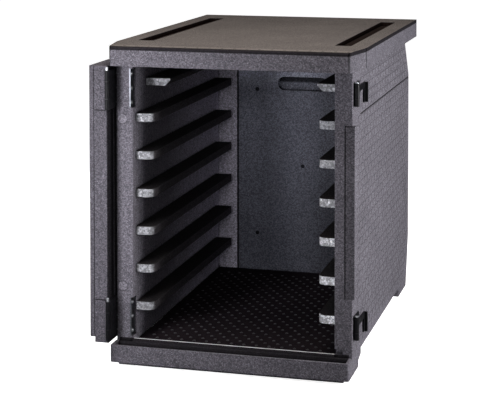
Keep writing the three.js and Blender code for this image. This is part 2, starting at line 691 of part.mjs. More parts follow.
// Latch bracket: a plate on the body's right side with two knuckles at its front.
function latchBracket() {
  const { inner, outer, start, end, lowKnuckle, highKnuckle } = BRACKET;
  const plate = block([inner, outer], [start, end], [-LATCH_HALF, LATCH_HALF]);
  const knuckles = [[-LATCH_HALF, lowKnuckle], [highKnuckle, LATCH_HALF]].flatMap((limits) => [
    barZ(LATCH_BARREL, limits),
    block([inner, 0], [0, start + 1], limits),
  ]);
  const bore = barZ(LATCH_PIN_RADIUS + PIN_CLEARANCE, [-2 * LATCH_HALF, 2 * LATCH_HALF]);
  const holes = bracketScrewPlaces().map(([, y, z]) => {
    const hole = barZ(BRACKET_SCREW.radius + GAP, [-LATCH_BARREL, LATCH_BARREL], COARSE).rotateY(Math.PI / 2);
    return hole.translate(outer, y, z);
  });
  return cut(join(plate, ...knuckles), bore, ...holes);
}

// Lever of a latch, drawn shut: an arm runs forward from the pivot to an upright bar with a hook.
function latchLever() {
  const { bottom, top, armBottom, knuckleBottom, inner, outer } = LEVER;
  const knuckle = barZ(LATCH_BARREL, [knuckleBottom, top]);
  const arm = block([inner, outer], [-LEVER_REACH, 0], [armBottom, top]);
  const bar = block([inner, outer], [-LEVER_REACH, LEVER_BAR - LEVER_REACH], [bottom, top]);
  const hook = block([LEVER_HOOK.inner, outer], [-LEVER_REACH, LEVER_HOOK.depth - LEVER_REACH], [bottom, top]);
  const bore = barZ(LATCH_PIN_RADIUS + PIN_CLEARANCE, [-2 * LATCH_HALF, 2 * LATCH_HALF]);
  return cut(join(knuckle, arm, bar, hook), bore);
}

// Catch on the door's outer face, drawn with the door shut: a plate with the rib that a hook holds.
function latchCatch() {
  const { start, end, outer, inner, half, ribWidth, ribOuter } = CATCH;
  const plate = block([start, end], [outer, inner], [-half, half]);
  const rib = block([end - ribWidth, end], [ribOuter, outer + 1], [-half, half]);
  const holes = catchScrewPlaces().map((place) =>
    intoBack(flatScrew(clearanceFor(CATCH_SCREW))).translate(...place),
  );
  return cut(join(plate, rib), ...holes);
}

function addLatch(place, height, door) {
  const latch = new THREE.Group();
  latch.position.set(LATCH_AXIS.x, LATCH_AXIS.y, height);
  carrier.add(latch);
  addMesh(latch, `latch_${place}_bracket`, latchBracket(), nylon);
  addMesh(latch, `latch_${place}_pin`, headedPin(LATCH_PIN_RADIUS, LATCH_HALF, LATCH_PIN_RISE), steel);
  const parked = new THREE.Group();
  parked.rotation.z = THREE.MathUtils.degToRad(LATCH_SWING);
  latch.add(parked);
  addMesh(parked, `latch_${place}_lever`, latchLever(), nylon);
  bracketScrewPlaces().forEach((position, i) => {
    const screw = intoLeft(domedScrew(BRACKET_SCREW));
    addMesh(latch, `latch_${place}_bracket_screw_${i + 1}`, screw, steel, position);
  });
  addMesh(door, `latch_${place}_catch`, latchCatch(), nylon, [0, 0, height]);
  catchScrewPlaces().forEach(([x, y, z], i) => {
    const screw = intoBack(flatScrew(CATCH_SCREW));
    addMesh(door, `latch_${place}_catch_screw_${i + 1}`, screw, steel, [x, y, height + z]);
  });
}

addMesh(carrier, "body_shell", bodyShell(), foam);
addMesh(carrier, "base", base(), foam);
addMesh(carrier, "top_slab", topSlab(), foamTop);
addRails();

// The door's pieces are drawn shut, and the whole door is then swung open about the hinge axis.
const door = new THREE.Group();
door.position.set(HINGE_AXIS.x, HINGE_AXIS.y, 0);
door.rotation.z = -THREE.MathUtils.degToRad(OPEN_ANGLE);
carrier.add(door);
addMesh(door, "door_panel", doorPanel(), foam);

for (const [place, height] of Object.entries(HINGE_HEIGHTS)) addHinge(place, height, door);
for (const [place, height] of Object.entries(LATCH_HEIGHTS)) addLatch(place, height, door);

export default carrier;
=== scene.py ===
# An insulated food carrier in charcoal bead foam, its door folded back along its left side.
# The CAD nodes keep their shapes and get rounded edges and procedural finishes; small moulded details
# are added as pieces of their own. Metres, +X to the carrier's right, +Y to its back, +Z up.
import math

import bmesh
import bpy
from mathutils import Matrix, Vector


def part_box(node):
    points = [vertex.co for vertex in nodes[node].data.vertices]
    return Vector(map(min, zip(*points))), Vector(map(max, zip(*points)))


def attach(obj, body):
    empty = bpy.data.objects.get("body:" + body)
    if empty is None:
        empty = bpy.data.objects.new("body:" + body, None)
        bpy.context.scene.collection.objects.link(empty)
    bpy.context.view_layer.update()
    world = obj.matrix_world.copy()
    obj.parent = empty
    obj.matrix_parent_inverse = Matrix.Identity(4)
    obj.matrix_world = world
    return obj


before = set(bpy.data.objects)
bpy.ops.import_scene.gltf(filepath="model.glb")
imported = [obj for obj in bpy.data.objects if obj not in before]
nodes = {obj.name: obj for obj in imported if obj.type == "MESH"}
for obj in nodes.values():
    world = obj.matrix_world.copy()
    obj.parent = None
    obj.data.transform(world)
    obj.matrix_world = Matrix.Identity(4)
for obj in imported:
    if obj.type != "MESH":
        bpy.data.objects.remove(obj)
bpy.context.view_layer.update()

MM = 0.001

# The camera's station in front of the carrier, to its right, and its lens.
STATION = Vector((0.8651, -3.3435, 1.0353))
YAW = math.radians(14.5)  # turned towards the carrier's left
PITCH = math.radians(2.19)  # tipped down
LENS = 107
SENSOR = 36
LENS_SHIFT = (-0.0464, -0.5229)
STATION_REACH = 0.25  # metres from the station at which the lens shift has gone

AMBIENT = 0.045  # light from all round, as a share of white
FLOOR_BOUNCE = 0.12  # share of light that the floor throws back on the carrier
FLOOR_GLOW = (0.78, 1.0)  # the floor's own white, near the carrier and far off, for the camera alone

BEAD = 2.3 * MM  # size of one bead of the foam
FOAM_SHINE = 0.12  # how strongly the foam reflects, as a share of the usual 1
EDGE_ANGLE = math.radians(30)

# Places on the carrier, read from the frame
SLAB_LOW, SLAB_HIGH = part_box("top_slab")
BODY_LOW, BODY_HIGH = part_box("body_shell")
BASE_LOW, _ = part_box("base")
RAIL_LOW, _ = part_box("rail_left_1")
WALL = -RAIL_LOW.x  # inner face of a side wall, from the middle plane
BACK = 0.300  # face of the back panel
FLOOR_TOP = 0.042
SILL_TOP = 0.050
WALL_OUTER = 0.260
PANEL_EDGE = 0.168  # half the width of the back panel
POST_EDGE = 0.170  # inner edge of the upright strip beside it
CHANNEL_HALF = 0.252  # half the length of the ledge's channel
GAP_SHADE_LIMITS = (-0.267, -0.2635)  # the folded door's outer face lies between these; painted shade darkens it
DOOR_EDGE_LIMITS = (-0.2685, -0.2675)  # the folded door's edges start here
CREASE = 0.545  # the side walls lean in above this height
LEAN = 0.012
GRIP_START = SLAB_LOW.y + 0.120
PAD_LENGTH = 34 * MM  # pitch of the relief pads along a side wall
PAD_HEIGHT = 17.5 * MM  # and upwards
PAD_JOINT = 2.4 * MM
PAD_PROUD = 0.55 * MM
HOLD_INNER = 0.245  # the strip let into the right jamb starts here
HOLD_HEIGHTS = (0.168, 0.528)
POCKET_SHADE = (0.520, 0.531)  # painted shadow darkens the finger pocket's back between these heights
BACK_MARKS = ((-0.119, 0.507), (0.119, 0.507), (0.0, 0.314), (-0.119, 0.138), (0.119, 0.138))
DISC_X = -0.2455
DISC_HEIGHTS = (0.526, 0.163)
DISC_RADIUS = 12 * MM
STUD_PITCH = 28 * MM  # distance between studs across the floor
STUD_ROW = 20 * MM  # and between their rows
RIM_DOT = 27 * MM  # pitch of the small vent marks behind the slab's front edge
WALL_RIB = 11 * MM  # pitch of the fine upright ribs inside the room
SLOT_LIMITS = (0.201, 0.241)  # a slot in the top lies between these, from the middle plane

# Tones that several materials are mixed from: a tint, painted shade and a painted highlight
PANEL_TINT = (0.90, 0.98, 1.02, 1)
FLOOR_SHADE = (0.014, 0.010, 0.012)
CHANNEL_SHADE = (0.010, 0.009, 0.010)
LIP_HIGHLIGHT = (0.85, 0.86, 0.90)

# Studio lights: place, what each is aimed at, width and height, power, colour, angle it spreads over
LIGHTS = {
    "top_softbox": ((0.0, -0.55, 1.85), (0.0, -0.45, 0.687), (0.8, 0.8), 23, (1.0, 0.93, 0.87), 180),
    "front_softbox": ((0.35, -3.7, 1.2), (0.0, -0.3, 0.35), (1.6, 1.2), 28, (0.98, 0.98, 1.02), 180),
    "left_softbox": ((-0.60, -1.42, 0.5), (-0.33, -0.35, 0.44), (0.34, 0.6), 3.3, (0.99, 0.98, 1.02), 62),
    "right_softbox": ((1.7, -0.25, 0.6), (0.26, -0.1, 0.35), (0.7, 1.0), 47, (1.0, 0.99, 1.0), 180),
    "rear_softbox": ((-1.35, 1.75, 0.45), (-0.1, 0.1, 0.33), (1.4, 0.4), 30, (1.0, 1.0, 1.0), 90),
}


# ---------------------------------------------------------------- node materials


class Shader:
    """A node material under construction. Every method returns an output socket."""

    def __init__(self, name):
        self.material = bpy.data.materials.new(name)
        self.material.use_nodes = True
        self.tree = self.material.node_tree
        self.surface = self.tree.nodes["Principled BSDF"]
        self.place = self.node("ShaderNodeTexCoord").outputs["Object"]
        self.split = self.node("ShaderNodeSeparateXYZ")
        self.tree.links.new(self.place, self.split.inputs[0])

    def node(self, kind, **settings):
        made = self.tree.nodes.new(kind)
        for key, value in settings.items():
            setattr(made, key, value)
        return made

    def feed(self, socket, value):
        if isinstance(value, bpy.types.NodeSocket):
            self.tree.links.new(value, socket)
        else:
            socket.default_value = value

    def axis(self, letter):
        return self.split.outputs[letter.upper()]

    def from_middle(self):
        """Distance to the carrier's left or right of its middle plane."""
        return self.maths("ABSOLUTE", self.axis("x"))

    def maths(self, operation, first, second=0.0):
        made = self.node("ShaderNodeMath", operation=operation)
        for socket, value in zip(made.inputs, (first, second)):
            self.feed(socket, value)
        return made.outputs[0]

    def distance(self, first, first_place, second, second_place):
        """How far a point lies from a line, measured across two axes."""
        one = self.maths("SUBTRACT", self.axis(first), first_place)
        two = self.maths("SUBTRACT", self.axis(second), second_place)
        squares = self.maths("ADD", self.maths("MULTIPLY", one, one), self.maths("MULTIPLY", two, two))
        return self.maths("SQRT", squares)

    def spread(self, value, low, high, to_low=0.0, to_high=1.0):
        """value, eased from to_low at low to to_high at high, and held beyond them."""
        made = self.node("ShaderNodeMapRange", interpolation_type="SMOOTHSTEP")
        for socket, given in zip(made.inputs, (value, low, high, to_low, to_high)):
            self.feed(socket, given)
        return made.outputs[0]

    def between(self, value, low, high, soft):
        """1 while value lies between low and high, falling to 0 over soft outside them."""
        rise = self.spread(value, low - soft, low)
        fall = self.spread(value, high, high + soft, 1.0, 0.0)
        return self.maths("MULTIPLY", rise, fall)

    def every(self, *masks):
        """The product of several masks."""
        found = masks[0]
        for mask in masks[1:]:
            found = self.maths("MULTIPLY", found, mask)
        return found

    def mix(self, factor, first, second):
        made = self.node("ShaderNodeMix", data_type="RGBA")
        self.feed(made.inputs[0], factor)
        for socket, value in ((made.inputs[6], first), (made.inputs[7], second)):
            self.feed(socket, (*value, 1) if isinstance(value, tuple) else value)
        return made.outputs[2]

    def scale(self, colour, factor):
        made = self.node("ShaderNodeVectorMath", operation="SCALE")
        self.feed(made.inputs[0], colour)
        self.feed(made.inputs["Scale"], factor)
        return made.outputs[0]

    def noise(self, size, detail=2.0, place=None):
        made = self.node("ShaderNodeTexNoise")
        self.feed(made.inputs["Vector"], place or self.place)
        made.inputs["Scale"].default_value = 1 / size
        made.inputs["Detail"].default_value = detail
        return made.outputs[0]

    def cells(self, size, feature="F1"):
        made = self.node("ShaderNodeTexVoronoi", feature=feature)
        self.feed(made.inputs["Vector"], self.place)
        made.inputs["Scale"].default_value = 1 / size
        return made

    def facing(self, axis):
        """The surface normal's share along an axis, before any bump."""
        geometry = self.node("ShaderNodeNewGeometry")
        turned = self.node(
            "ShaderNodeVectorTransform", vector_type="NORMAL", convert_from="WORLD", convert_to="OBJECT"
        )
        self.feed(turned.inputs[0], geometry.outputs["Normal"])
        split = self.node("ShaderNodeSeparateXYZ")
        self.feed(split.inputs[0], turned.outputs[0])
        return split.outputs[axis.upper()]

    def edges(self, radius):
        """1 on rounded and sharp edges, 0 on flat faces."""
        geometry = self.node("ShaderNodeNewGeometry")
        rounded = self.node("ShaderNodeBevel", samples=6)
        rounded.inputs["Radius"].default_value = radius
        dot = self.node("ShaderNodeVectorMath", operation="DOT_PRODUCT")
        self.feed(dot.inputs[0], rounded.outputs[0])
        self.feed(dot.inputs[1], geometry.outputs["Normal"])
        return self.spread(dot.outputs["Value"], 0.80, 0.99, 1.0, 0.0)

    def hollows(self, reach):
        """1 deep in grooves and inner corners, 0 on open faces."""
        made = self.node("ShaderNodeAmbientOcclusion", samples=4)
        made.inputs["Distance"].default_value = reach
        return self.spread(made.outputs["AO"], 0.30, 0.90, 1.0, 0.0)

    def bump(self, height, distance, below=None):
        made = self.node("ShaderNodeBump")
        made.inputs["Strength"].default_value = 1.0
        made.inputs["Distance"].default_value = distance
        self.feed(made.inputs["Height"], height)
        if below is not None:
            self.feed(made.inputs["Normal"], below)
        return made.outputs[0]

    def finish(self, colour, roughness, normal=None, metallic=0.0, specular=0.5):
        colour = (*colour, 1) if isinstance(colour, tuple) else colour
        self.feed(self.surface.inputs["Base Color"], colour)
        self.feed(self.surface.inputs["Roughness"], roughness)
        self.surface.inputs["Metallic"].default_value = metallic
        self.feed(self.surface.inputs["Specular IOR Level"], specular)
        if normal is not None:
            self.feed(self.surface.inputs["Normal"], normal)
        return self.material


def beads(shader, dark, light, contrast=0.38, size=BEAD):
    """Colour and relief of bead foam: packed cells, each a little lighter or darker, with sunk borders."""
    cell = shader.cells(size)
    border = shader.cells(size, feature="DISTANCE_TO_EDGE").outputs["Distance"]
    tone = shader.node("ShaderNodeSeparateColor")
    shader.feed(tone.inputs[0], cell.outputs["Color"])
    shade = shader.spread(tone.outputs[0], 0.0, 1.0, 1 - contrast, 1 + contrast)
    bright = shader.spread(tone.outputs[1], 0.86, 0.98)
    sunk = shader.spread(border, 0.0, 0.16)
    grain = shader.noise(0.7 * MM, 2.0)
    cloud = shader.noise(90 * MM, 3.0)
    colour = shader.mix(shader.maths("MULTIPLY", bright, 0.45), dark, light)
    colour = shader.scale(colour, shade)
    colour = shader.scale(colour, shader.spread(sunk, 0.0, 1.0, 0.62, 1.0))
    colour = shader.scale(colour, shader.spread(grain, 0.3, 0.7, 0.86, 1.14))
    colour = shader.scale(colour, shader.spread(cloud, 0.3, 0.7, 0.93, 1.07))
    relief = shader.maths("ADD", sunk, shader.maths("MULTIPLY", grain, 0.35))
    rough = shader.spread(tone.outputs[2], 0.0, 1.0, 0.72, 0.95)
    return colour, relief, rough


def grimed(shader, colour, least=0.12):
    """The colour, darkened by painted shade in grooves and inner corners."""
    return shader.scale(colour, shader.spread(shader.hollows(9 * MM), 0.0, 1.0, 1.0, least))


def emboss(shader, across, up, width, height):
    """Small raised blocks laid like bricks: 1 on a block, 0 in the lines between."""
    row = shader.maths("DIVIDE", up, height)
    course = shader.maths("FLOOR", row)
    shift = shader.maths("MULTIPLY", shader.maths("MODULO", course, 2.0), 0.5)
    column = shader.maths("ADD", shader.maths("DIVIDE", across, width), shift)
    gap_up = shader.maths("ABSOLUTE", shader.maths("SUBTRACT", shader.maths("FRACT", row), 0.5))
    gap_across = shader.maths("ABSOLUTE", shader.maths("SUBTRACT", shader.maths("FRACT", column), 0.5))
    inside_up = shader.spread(gap_up, 0.36, 0.47, 1.0, 0.0)
    inside_across = shader.spread(gap_across, 0.40, 0.48, 1.0, 0.0)
    return shader.maths("MULTIPLY", inside_up, inside_across)


def marks_material():
    """The foam of the side pads and moulding marks: paler on the discs' faces, with painted shade on the
    pads' sloping edges and in a ring inside each disc's rim.
    """
    shader = Shader("foam_marks")
    colour, relief, rough = beads(shader, (0.128, 0.121, 0.140), (0.25, 0.24, 0.27))
    sideways = shader.maths("ABSOLUTE", shader.facing("x"))
    forwards = shader.maths("ABSOLUTE", shader.facing("y"))
    flat = shader.maths("MAXIMUM", sideways, forwards)
    # painted shade on the pads' sloping edges
    slope = shader.spread(flat, 0.90, 0.97, 1.0, 0.0)
    colour = shader.scale(colour, shader.spread(slope, 0.0, 1.0, 1.0, 0.34))
    disc = shader.spread(shader.axis("y"), BODY_LOW.y + 2 * MM, BODY_LOW.y + 3 * MM, 1.3, 1.0)
    colour = shader.scale(colour, disc)
    # painted shade: a dark ring just inside each disc's rim
    for height in DISC_HEIGHTS:
        away = shader.distance("x", DISC_X, "z", height)
        ring = shader.between(away, DISC_RADIUS - 1.8 * MM, DISC_RADIUS - 0.8 * MM, 0.4 * MM)
        colour = shader.scale(colour, shader.spread(ring, 0.0, 1.0, 1.0, 0.4))
    normal = shader.bump(relief, 0.25 * MM)
    return shader.finish(colour, rough, normal, specular=FOAM_SHINE)


def inside_room(shader):
    """1 on the faces of the room behind the door, 0 elsewhere."""
    return shader.every(
        shader.between(shader.axis("x"), -WALL - MM, WALL + MM, MM / 2),
        shader.spread(shader.axis("y"), BODY_LOW.y + 0.5 * MM, BODY_LOW.y + 2 * MM),
        shader.spread(shader.axis("y"), BACK + 20 * MM, BACK + 22 * MM, 1.0, 0.0),
    )


def back_of_room(shader, room, left, right):
    """1 on the back of the room between two distances from the middle plane."""
    return shader.every(
        shader.between(shader.axis("x"), left, right, MM / 2),
        shader.spread(shader.axis("y"), BACK - 2 * MM, BACK - MM),
        room,
    )


def room_colour(shader, colour, room, panel):
    """Colour inside the room: left wall and the strip beside the back panel paler by painted light, the
    panel bluish and lit unevenly by painted light.
    """
    post = back_of_room(shader, room, -WALL, -POST_EDGE)
    wall = shader.every(
        room,
        shader.spread(shader.facing("x"), 0.8, 0.9),
        shader.spread(shader.axis("z"), FLOOR_TOP - MM, FLOOR_TOP),
    )
    # painted light: the left wall paler, the more towards the back, and the strip beside the back panel
    # much paler
    far = shader.spread(shader.axis("y"), -0.22, 0.20, 1.2, 6.5)
    pale = shader.maths("ADD", shader.maths("MULTIPLY", post, 4.6), shader.maths("MULTIPLY", wall, far))
    colour = shader.scale(colour, shader.maths("ADD", 1.0, pale))
    bluish = shader.node("ShaderNodeMix", data_type="RGBA", blend_type="MULTIPLY")
    bluish.inputs[0].default_value = 1.0
    shader.feed(bluish.inputs[6], colour)
    bluish.inputs[7].default_value = PANEL_TINT
    # painted light on the bluish panel: paler to the left, darker to the right, paler upwards and most near
    # its top
    across = shader.maths(
        "MULTIPLY",
        shader.spread(shader.axis("x"), -0.15, 0.0, 2.0, 1.25),
        shader.spread(shader.axis("x"), -0.03, 0.08, 1.0, 0.36),
    )
    up = shader.maths(
        "MULTIPLY",
        shader.spread(shader.axis("z"), 0.12, 0.45, 0.75, 1.25),
        shader.spread(shader.axis("z"), 0.50, 0.56, 1.0, 2.4),
    )
    lit_panel = shader.scale(bluish.outputs[2], shader.maths("MULTIPLY", across, up))
    return shader.mix(panel, colour, lit_panel)


def room_floor(shader):
    """1 on the floor of the room."""
    return shader.every(
        shader.between(shader.axis("z"), FLOOR_TOP - 7 * MM, FLOOR_TOP + MM, MM / 2),
        shader.spread(shader.axis("y"), BASE_LOW.y + 45 * MM, BASE_LOW.y + 46 * MM),
        shader.spread(shader.axis("y"), BACK + 2 * MM, BACK + 3 * MM, 1.0, 0.0),
        shader.spread(shader.from_middle(), WALL - MM, WALL, 1.0, 0.0),
    )


def ledge_channel(shader):
    """1 in the channel of the front ledge that takes the door's tongue."""
    return shader.every(
        shader.between(shader.axis("z"), FLOOR_TOP - 12 * MM, SILL_TOP + MM, MM / 2),
        shader.between(shader.axis("y"), BASE_LOW.y + 5.5 * MM, BASE_LOW.y + 41 * MM, MM / 2),
        shader.spread(shader.from_middle(), CHANNEL_HALF, CHANNEL_HALF + MM, 1.0, 0.0),
    )


def sill_lip(shader):
    """1 on the rear half of the sill's top, where a painted highlight lies."""
    return shader.every(
        shader.spread(shader.axis("z"), SILL_TOP - 1.5 * MM, SILL_TOP - MM),
        shader.between(shader.axis("y"), BASE_LOW.y + 41.5 * MM, BASE_LOW.y + 47 * MM, MM / 2),
        shader.spread(shader.from_middle(), WALL - MM, WALL, 1.0, 0.0),
        shader.spread(shader.axis("z"), SILL_TOP + MM, SILL_TOP + 2 * MM, 1.0, 0.0),
    )


def dark_joints(shader, room, panel, jamb):
    """1 where painted shade darkens the body: its narrow joints, round marks, pocket sides and the top of
    the pocket's back.
    """
    # painted shade: a dark line along the crease where the side walls lean in
    crease = shader.every(
        shader.between(shader.from_middle(), 0.2572, 0.2610, 0.3 * MM),
        shader.between(shader.axis("z"), CREASE - 2.4 * MM, CREASE + 0.4 * MM, 0.4 * MM),
        shader.spread(shader.axis("y"), GRIP_START - MM, GRIP_START),
    )
    # painted shade: dark lines along the side and top of the strip let into the right jamb
    hold = shader.every(
        jamb,
        shader.between(shader.axis("x"), HOLD_INNER - 2.4 * MM, HOLD_INNER, 0.3 * MM),
        shader.between(shader.axis("z"), *HOLD_HEIGHTS, MM),
    )
    hold_top = shader.every(
        jamb,
        shader.spread(shader.axis("x"), HOLD_INNER - 2.4 * MM, HOLD_INNER - 2 * MM),
        shader.between(shader.axis("z"), HOLD_HEIGHTS[1], HOLD_HEIGHTS[1] + 2 * MM, 0.3 * MM),
    )
    joints = shader.maths("MAXIMUM", crease, shader.maths("MAXIMUM", hold, hold_top))
    # painted shade: a dark ring round each mark on the back panel
    for place in BACK_MARKS:
        away = shader.distance("x", place[0], "z", place[1])
        ring = shader.maths("MULTIPLY", shader.between(away, 3.6 * MM, 5.0 * MM, 0.5 * MM), 0.75)
        joints = shader.maths("MAXIMUM", joints, shader.every(ring, panel))
    # painted shade on the finger pocket's sides
    pocket = shader.between(shader.axis("y"), BACK + 0.8 * MM, BACK + 13 * MM, 0.5 * MM)
    joints = shader.maths("MAXIMUM", joints, shader.every(pocket, room))
    # painted shadow across the top of the finger pocket's back
    shade = shader.every(
        shader.spread(shader.axis("y"), BACK + 13 * MM, BACK + 14 * MM),
        shader.spread(shader.axis("z"), *POCKET_SHADE),
        room,
    )
    return shader.maths("MAXIMUM", joints, shade)


def foam_material():
    """Body, base and door: charcoal bead foam, bluish on the back panel, dark on the floor of the room by
    painted shade, with painted light and shade elsewhere in the room, on the ledge and on the hinge side.
    """
    shader = Shader("foam_charcoal")
    colour, relief, rough = beads(shader, (0.120, 0.113, 0.132), (0.24, 0.23, 0.26))
    front = BODY_LOW.y
    room = inside_room(shader)
    panel = back_of_room(shader, room, -PANEL_EDGE, PANEL_EDGE)
    floor = room_floor(shader)
    channel = ledge_channel(shader)
    jamb = shader.spread(shader.axis("y"), front + 2.5 * MM, front + 3 * MM, 1.0, 0.0)
    ribs = shader.maths("SINE", shader.maths("MULTIPLY", shader.axis("y"), 2 * math.pi / WALL_RIB))
    ribs = shader.spread(ribs, -0.6, 0.6, 0.80, 1.0)
    colour = shader.mix(room, colour, shader.scale(colour, ribs))
    colour = room_colour(shader, colour, room, panel)
    # painted shade: the floor of the room near black
    colour = shader.mix(shader.maths("MULTIPLY", floor, 0.93), colour, FLOOR_SHADE)
    # painted shade: the ledge's channel near black
    colour = shader.mix(shader.maths("MULTIPLY", channel, 0.92), colour, CHANNEL_SHADE)
    # painted highlight: a pale line along the sill's lip
    colour = shader.mix(shader.maths("MULTIPLY", sill_lip(shader), 0.9), colour, LIP_HIGHLIGHT)
    # painted shade in the crease, the jamb strip's grooves, the back marks and the finger pocket
    joints = dark_joints(shader, room, panel, jamb)
    colour = shader.scale(colour, shader.spread(joints, 0.0, 1.0, 1.0, 0.12))
    hold_face = shader.every(
        jamb,
        shader.spread(shader.axis("x"), HOLD_INNER, HOLD_INNER + MM),
        shader.between(shader.axis("z"), *HOLD_HEIGHTS, MM),
    )
    colour = shader.scale(colour, shader.spread(hold_face, 0.0, 1.0, 1.0, 0.72))

    # Hinge side: a strip of painted shade on the door's face, painted shade on the jamb darker outwards,
    # the door's edges darker
    gap_shade = shader.every(
        shader.between(shader.axis("x"), *GAP_SHADE_LIMITS, MM / 2),
        shader.spread(shader.axis("y"), front - 8 * MM, front + 12 * MM, 1.0, 0.0),
    )
    deep = shader.spread(shader.axis("y"), front - 30 * MM, front - 12 * MM, 0.18, 0.04)
    colour = shader.mix(gap_shade, colour, shader.scale(colour, deep))
    # painted shade: the door's shadow on the jamb, darker outwards
    outer_jamb = shader.every(
        jamb,
        shader.spread(shader.axis("x"), -0.262, -0.236, 1.0, 0.0),
        shader.spread(shader.axis("x"), -0.2632, -0.2625),
    )
    colour = shader.scale(colour, shader.spread(outer_jamb, 0.0, 1.0, 1.0, 0.70))
    door_edge = shader.spread(shader.axis("x"), *DOOR_EDGE_LIMITS, 1.0, 0.0)
    colour = shader.scale(colour, shader.spread(door_edge, 0.0, 1.0, 1.0, 0.74))

    # painted highlight: rounded edges paler, where light would catch them
    lit_edges = shader.edges(1.5 * MM)
    colour = shader.scale(colour, shader.spread(lit_edges, 0.0, 1.0, 1.0, 1.5))
    # painted shade in grooves and inner corners
    colour = grimed(shader, colour)
    normal = shader.bump(relief, 0.25 * MM)
    normal = shader.bump(shader.maths("MULTIPLY", ribs, room), 0.5 * MM, normal)
    dull = shader.maths("MAXIMUM", shader.maths("MAXIMUM", channel, gap_shade), floor)
    return shader.finish(colour, rough, normal, specular=shader.spread(dull, 0.0, 1.0, FOAM_SHINE, 0.0))


def slab_material():
    """Top slab: the same foam, embossed and warm on top, with painted shade dark on its rounded edge,
    slots, groove lines, sides and front corners, and a painted highlight pale along the rim.
    """
    shader = Shader("foam_slab")
    colour, relief, rough = beads(shader, (0.125, 0.118, 0.138), (0.24, 0.23, 0.26))
    warm, _, _ = beads(shader, (0.128, 0.115, 0.110), (0.22, 0.20, 0.19), 0.20)
    up = shader.spread(shader.facing("z"), 0.75, 0.92)
    pattern = emboss(shader, shader.axis("x"), shader.axis("y"), 12 * MM, 7 * MM)
    lines = shader.maths("SUBTRACT", 1.0, pattern)
    warm = shader.scale(warm, shader.spread(lines, 0.0, 1.0, 1.08, 0.70))
    colour = shader.mix(up, colour, warm)
    from_middle = shader.from_middle()
    height = shader.axis("z")
    depth = shader.axis("y")
    high = SLAB_HIGH.z
    near = SLAB_LOW.y
    # painted shade: a dark band along the rounded front edge
    band = shader.maths(
        "MULTIPLY",
        shader.spread(height, high - 9 * MM, high - 7.5 * MM),
        shader.spread(shader.facing("z"), 0.94, 0.985, 1.0, 0.0),
    )
    colour = shader.mix(shader.maths("MULTIPLY", band, 0.92), colour, (0.010, 0.009, 0.010))
    # painted highlight: a pale line along the rim behind the front edge
    rim = shader.every(
        shader.spread(height, high - 0.8 * MM, high - 0.4 * MM),
        shader.between(depth, near + 8 * MM, near + 24 * MM, 6 * MM),
    )
    colour = shader.mix(shader.maths("MULTIPLY", rim, 0.22), colour, (0.30, 0.28, 0.25))
    along = shader.maths("FRACT", shader.maths("DIVIDE", shader.axis("x"), RIM_DOT))
    dots = shader.every(
        rim,
        shader.between(along, 0.42, 0.58, 0.04),
        shader.between(depth, near + 10 * MM, near + 16 * MM, MM),
    )
    colour = shader.mix(dots, colour, (0.03, 0.027, 0.026))
    # painted shade: the slots in the top near black inside
    slot = shader.every(
        shader.spread(height, high - 2 * MM, high - 0.8 * MM, 1.0, 0.0),
        shader.between(depth, near + 0.12, SLAB_HIGH.y - 0.09, MM),
        shader.between(from_middle, *SLOT_LIMITS, MM / 2),
    )
    colour = shader.mix(shader.maths("MULTIPLY", slot, 0.93), colour, (0.010, 0.006, 0.005))
    # painted shade: a dark groove line down the slab's sides
    groove = shader.every(
        shader.between(depth, near + 94.5 * MM, near + 98.5 * MM, 0.5 * MM),
        shader.spread(from_middle, 0.2735, 0.2740),
    )
    colour = shader.scale(colour, shader.spread(groove, 0.0, 1.0, 1.0, 0.12))
    # painted shade: the slab's sides darker
    side = shader.spread(shader.facing("x"), 0.8, 0.9)
    colour = shader.scale(colour, shader.spread(side, 0.0, 1.0, 1.0, 0.84))
    # painted shade: the slab's rounded front corners darker
    corner = shader.every(
        shader.spread(depth, near + 4 * MM, near + 7 * MM, 1.0, 0.0),
        shader.spread(from_middle, 0.2565, 0.2580),
    )
    colour = shader.scale(colour, shader.spread(corner, 0.0, 1.0, 1.0, 0.30))
    # painted shade in grooves and inner corners
    colour = grimed(shader, colour)
    normal = shader.bump(relief, 0.25 * MM)
    normal = shader.bump(shader.maths("MULTIPLY", pattern, up), 0.35 * MM, normal)
    dull = shader.maths("MAXIMUM", band, slot)
    return shader.finish(colour, rough, normal, specular=shader.spread(dull, 0.0, 1.0, FOAM_SHINE, 0.0))


def rail_material():
    """Tray rails: pale and mottled on their noses, the low right ones paler still by painted light, and
    near black on top by painted shade.
    """
    shader = Shader("foam_rail")
    colour, relief, rough = beads(shader, (0.085, 0.078, 0.085), (0.16, 0.15, 0.16))
    pale, _, _ = beads(shader, (0.25, 0.255, 0.27), (0.66, 0.67, 0.70), 0.40, 4.5 * MM)
    # painted light: the noses of the low right rails paler
    low_right = shader.maths(
        "MULTIPLY",
        shader.spread(shader.axis("x"), -0.01, 0.01),
        shader.spread(shader.axis("z"), 0.10, 0.50, 1.0, 0.3),
    )
    pale = shader.scale(pale, shader.spread(low_right, 0.0, 1.0, 1.0, 2.7))
    nose = shader.spread(shader.facing("y"), -0.35, -0.6)
    # painted shade: the rails' tops near black
    top = shader.spread(shader.facing("z"), 0.5, 0.8)
    colour = shader.mix(nose, colour, pale)
    colour = shader.mix(top, colour, (0.016, 0.014, 0.015))
    # painted shade in grooves and inner corners
    colour = grimed(shader, colour, 0.3)
    normal = shader.bump(relief, 0.3 * MM)
    return shader.finish(colour, rough, normal, specular=FOAM_SHINE)


def floor_material():
    """Floor of the room and its studs: dark by painted shade, and slightly shiny from trays and crumbs."""
    shader = Shader("foam_studs")
    colour, relief, rough = beads(shader, (0.036, 0.035, 0.04), (0.07, 0.07, 0.08))
    normal = shader.bump(relief, 0.1 * MM)
    return shader.finish(colour, shader.maths("MULTIPLY", rough, 0.5), normal)


